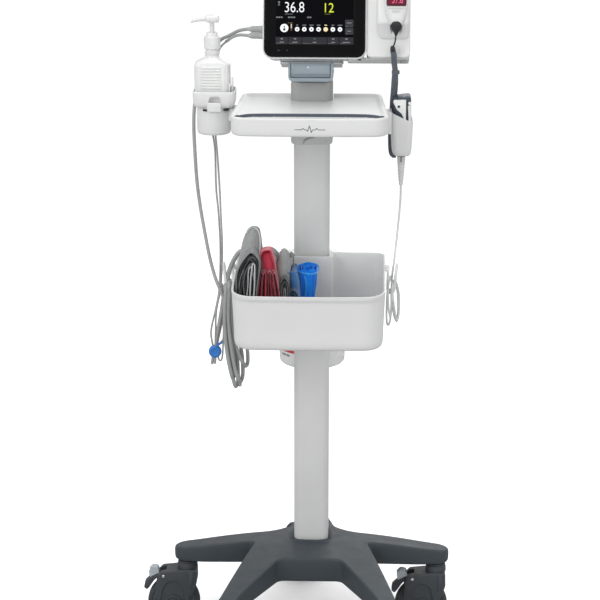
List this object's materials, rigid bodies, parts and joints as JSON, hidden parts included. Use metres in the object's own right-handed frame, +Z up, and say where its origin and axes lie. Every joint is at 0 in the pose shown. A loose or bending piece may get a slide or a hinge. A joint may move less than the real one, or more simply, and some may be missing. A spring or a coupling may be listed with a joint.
{
  "type": "vital signs monitor on rolling stand",
  "caption": "Portrait bedside monitor on a wheeled column stand with a tray, accessory basket, sanitizer bottle, thermometer, scanner, cables and folded cuffs.",
  "frame": {"origin": "on the floor, at the middle of the footprint box; the column's vertical axis is at x 0.030, y 0.038 m", "axes": "+Z up, front of the stand towards -Y, +X to the right seen from the front"},
  "size_m": [0.5836, 0.5669, 1.376],
  "materials": {
    "white_plastic": "satin",
    "grey_plastic": "satin",
    "column_paint": "satin powder coat",
    "base_paint": "matte powder coat",
    "dark_plastic": "matte",
    "clamp_paint": "satin",
    "plate_metal": "satin",
    "pin_steel": "brushed",
    "bezel_black": "gloss",
    "screen_glass": "polished",
    "pcb": "gloss",
    "bottle_plastic": "gloss",
    "canister_plastic": "gloss",
    "cord_rubber": "matte",
    "cord_dark": "matte",
    "cord_light": "satin",
    "cloth_grey": "woven",
    "cloth_red": "woven",
    "cloth_blue": "woven",
    "tyre": "matte",
    "brake_tab": "matte"
  },
  "bodies": {
    "stand": {"base_casting": "base_paint", "base_collar": "base_paint", "column": "column_paint", "tray_sleeve": "grey_plastic", "tilt_pin": "pin_steel", "tray": "white_plastic", "tray_handle_liner": "dark_plastic", "basket": "white_plastic", "basket_bracket": "grey_plastic", "basket_hook_left": "grey_plastic", "basket_hook_right": "grey_plastic", "canister_holder": "grey_plastic", "canister_body": "canister_plastic", "sanitizer_holder": "white_plastic", "sanitizer_cradle": "white_plastic", "scanner_holder": "white_plastic", "hose_bundle": "cord_rubber", "sensor_cable": "cord_rubber", "thermometer_cord": "cord_dark", "scanner_cable": "cord_light", "cuff_grey_large": "cloth_grey", "cuff_red": "cloth_red", "cuff_grey_small": "cloth_grey", "cuff_blue_roll": "cloth_blue"},
    "canister_lid": {"canister_lid": "canister_plastic"},
    "bottle": {"bottle": "bottle_plastic", "pump_collar": "bottle_plastic"},
    "pump": {"pump_head": "bottle_plastic"},
    "scanner": {"scanner_body": "white_plastic"},
    "scanner_trigger": {"scanner_trigger": "dark_plastic"},
    "tilt_head": {"tilt_head": "clamp_paint", "mount_plate": "plate_metal"},
    "latch": {"release_latch": "clamp_paint"},
    "monitor": {"monitor_rear_housing": "white_plastic", "monitor_bezel": "bezel_black", "display_panel": "screen_glass", "battery_pack": "dark_plastic", "main_board": "pcb", "side_module": "white_plastic", "thermometer_cradle": "white_plastic", "hose_connector": "cord_rubber", "sensor_connector": "cord_rubber"},
    "power_button": {"power_button": "dark_plastic"},
    "thermometer": {"thermometer_body": "white_plastic"},
    "thermometer_button": {"thermometer_button": "grey_plastic"},
    "swivel_left": {"caster_left_fork": "dark_plastic"},
    "wheel_left": {"caster_left_wheel": "tyre"},
    "brake_left": {"caster_left_brake": "brake_tab"},
    "swivel_right": {"caster_right_fork": "dark_plastic"},
    "wheel_right": {"caster_right_wheel": "tyre"},
    "brake_right": {"caster_right_brake": "brake_tab"},
    "swivel_front_left": {"caster_front_left_fork": "dark_plastic"},
    "wheel_front_left": {"caster_front_left_wheel": "tyre"},
    "brake_front_left": {"caster_front_left_brake": "brake_tab"},
    "swivel_front_right": {"caster_front_right_fork": "dark_plastic"},
    "wheel_front_right": {"caster_front_right_wheel": "tyre"},
    "brake_front_right": {"caster_front_right_brake": "brake_tab"},
    "swivel_rear": {"caster_rear_fork": "dark_plastic"},
    "wheel_rear": {"caster_rear_wheel": "tyre"},
    "brake_rear": {"caster_rear_brake": "brake_tab"}
  },
  "joints": [
    {"name": "monitor_tilt", "type": "hinge", "parent": "stand", "child": "tilt_head", "pos_m": [0.03025, 0.033, 1.064], "axis": [1, 0, 0], "range_deg": [-10, 8]},
    {"name": "monitor_slide", "type": "slide", "parent": "tilt_head", "child": "monitor", "axis": [0, -0.9659, 0.2588], "range_m": [0, 0.07]},
    {"name": "release_latch", "type": "hinge", "parent": "tilt_head", "child": "latch", "pos_m": [0.03025, -0.0245, 1.099], "axis": [-1, 0, 0], "range_deg": [0, 20]},
    {"name": "power_button", "type": "slide", "parent": "monitor", "child": "power_button", "axis": [0, 0.9659, -0.2588], "range_m": [0, 0.0012]},
    {"name": "thermometer_lift", "type": "slide", "parent": "monitor", "child": "thermometer", "axis": [0, 0.2588, 0.9659], "range_m": [0, 0.12]},
    {"name": "thermometer_button", "type": "slide", "parent": "thermometer", "child": "thermometer_button", "axis": [0, 0.9659, -0.2588], "range_m": [0, 0.0008]},
    {"name": "scanner_lift", "type": "slide", "parent": "stand", "child": "scanner", "axis": [0, 0, 1], "range_m": [0, 0.04]},
    {"name": "scanner_trigger", "type": "slide", "parent": "scanner", "child": "scanner_trigger", "axis": [0, 1, 0], "range_m": [0, 0.0015]},
    {"name": "bottle_lift", "type": "slide", "parent": "stand", "child": "bottle", "axis": [0, 0, 1], "range_m": [0, 0.12]},
    {"name": "pump_press", "type": "slide", "parent": "bottle", "child": "pump", "axis": [0, 0, -1], "range_m": [0, 0.014]},
    {"name": "canister_lid", "type": "hinge", "parent": "stand", "child": "canister_lid", "pos_m": [0.02825, 0.209, 0.701], "axis": [-1, 0, 0], "range_deg": [0, 100]},
    {"name": "caster_left_swivel", "type": "hinge", "parent": "stand", "child": "swivel_left", "pos_m": [-0.20775, 0.038, 0.13], "axis": [0, 0, 1], "continuous": true},
    {"name": "caster_left_roll", "type": "hinge", "parent": "swivel_left", "child": "wheel_left", "pos_m": [-0.23475, 0.038, 0.05], "axis": [0, 1, 0], "continuous": true},
    {"name": "caster_left_brake", "type": "hinge", "parent": "swivel_left", "child": "brake_left", "pos_m": [-0.25675, 0.038, 0.1045], "axis": [0, -1, 0], "range_deg": [0, 6]},
    {"name": "caster_right_swivel", "type": "hinge", "parent": "stand", "child": "swivel_right", "pos_m": [0.26825, 0.038, 0.13], "axis": [0, 0, 1], "continuous": true},
    {"name": "caster_right_roll", "type": "hinge", "parent": "swivel_right", "child": "wheel_right", "pos_m": [0.24125, 0.038, 0.05], "axis": [0, 1, 0], "continuous": true},
    {"name": "caster_right_brake", "type": "hinge", "parent": "swivel_right", "child": "brake_right", "pos_m": [0.21925, 0.038, 0.1045], "axis": [0, -1, 0], "range_deg": [0, 6]},
    {"name": "caster_front_left_swivel", "type": "hinge", "parent": "stand", "child": "swivel_front_left", "pos_m": [-0.12675, -0.26, 0.13], "axis": [0, 0, 1], "continuous": true},
    {"name": "caster_front_left_roll", "type": "hinge", "parent": "swivel_front_left", "child": "wheel_front_left", "pos_m": [-0.15375, -0.26, 0.05], "axis": [0, 1, 0], "continuous": true},
    {"name": "caster_front_left_brake", "type": "hinge", "parent": "swivel_front_left", "child": "brake_front_left", "pos_m": [-0.17575, -0.26, 0.1045], "axis": [0, -1, 0], "range_deg": [0, 6]},
    {"name": "caster_front_right_swivel", "type": "hinge", "parent": "stand", "child": "swivel_front_right", "pos_m": [0.18725, -0.26, 0.13], "axis": [0, 0, 1], "continuous": true},
    {"name": "caster_front_right_roll", "type": "hinge", "parent": "swivel_front_right", "child": "wheel_front_right", "pos_m": [0.16025, -0.26, 0.05], "axis": [0, 1, 0], "continuous": true},
    {"name": "caster_front_right_brake", "type": "hinge", "parent": "swivel_front_right", "child": "brake_front_right", "pos_m": [0.13825, -0.26, 0.1045], "axis": [0, -1, 0], "range_deg": [0, 6]},
    {"name": "caster_rear_swivel", "type": "hinge", "parent": "stand", "child": "swivel_rear", "pos_m": [0.03025, 0.26, 0.13], "axis": [0, 0, 1], "continuous": true},
    {"name": "caster_rear_roll", "type": "hinge", "parent": "swivel_rear", "child": "wheel_rear", "pos_m": [0.00325, 0.26, 0.05], "axis": [0, 1, 0], "continuous": true},
    {"name": "caster_rear_brake", "type": "hinge", "parent": "swivel_rear", "child": "brake_rear", "pos_m": [-0.01875, 0.26, 0.1045], "axis": [0, -1, 0], "range_deg": [0, 6]}
  ]
}
